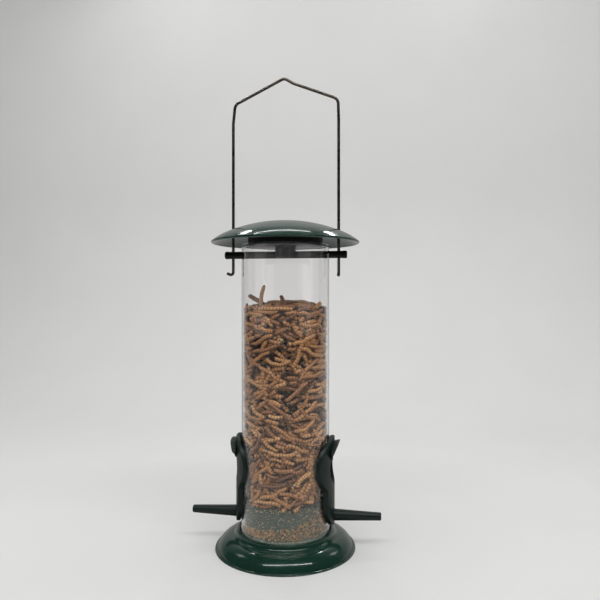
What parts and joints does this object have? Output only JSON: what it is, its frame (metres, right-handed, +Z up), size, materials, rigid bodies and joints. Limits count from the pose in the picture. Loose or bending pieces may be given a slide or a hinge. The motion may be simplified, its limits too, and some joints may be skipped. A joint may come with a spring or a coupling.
{
  "type": "hanging tube bird feeder",
  "caption": "Hanging bird feeder: clear tube of dried mealworms on a round enamelled dish, ports with perches, domed lid that slides up a wire handle.",
  "frame": {"origin": "centre of the base dish on the surface that it stands on", "axes": "+Z up the tube, +X through the right port and perch, -Y the front"},
  "size_m": [0.137, 0.1062, 0.3373],
  "materials": {
    "enamel": "gloss green enamel",
    "green_plastic": "moulded, satin",
    "dark_plastic": "moulded, satin",
    "grey_plastic": "moulded, matte",
    "clear_plastic": "clear, polished",
    "wire": "galvanised",
    "zinc_steel": "zinc plated",
    "mealworms": "dry, matte",
    "crumbs": "dry, matte"
  },
  "bodies": {
    "feeder": {"tube": "clear_plastic", "base_dish": "enamel", "base_insert": "grey_plastic", "base_washer": "zinc_steel", "base_screw": "zinc_steel", "right_port": "green_plastic", "left_port": "green_plastic", "right_baffle": "green_plastic", "left_baffle": "green_plastic", "right_perch": "green_plastic", "left_perch": "green_plastic", "mealworm_feed": "mealworms", "feed_dust": "crumbs"},
    "crossbar": {"crossbar": "dark_plastic"},
    "handle": {"wire_handle": "wire"},
    "lid": {"lid_dome": "enamel", "lid_plug": "dark_plastic", "lid_saddle": "dark_plastic", "lid_washer": "zinc_steel", "lid_screw": "zinc_steel"}
  },
  "joints": [
    {"name": "crossbar_turn", "type": "hinge", "parent": "feeder", "child": "crossbar", "pos_m": [0, 0, 0.2093], "axis": [1, 0, 0], "range_deg": [-14, 14]},
    {"name": "handle_slide", "type": "slide", "parent": "crossbar", "child": "handle", "axis": [0, 0, 1], "range_m": [-0.02, 0.009]},
    {"name": "lid_lift", "type": "slide", "parent": "crossbar", "child": "lid", "axis": [0, 0, 1], "range_m": [0, 0.055]}
  ]
}
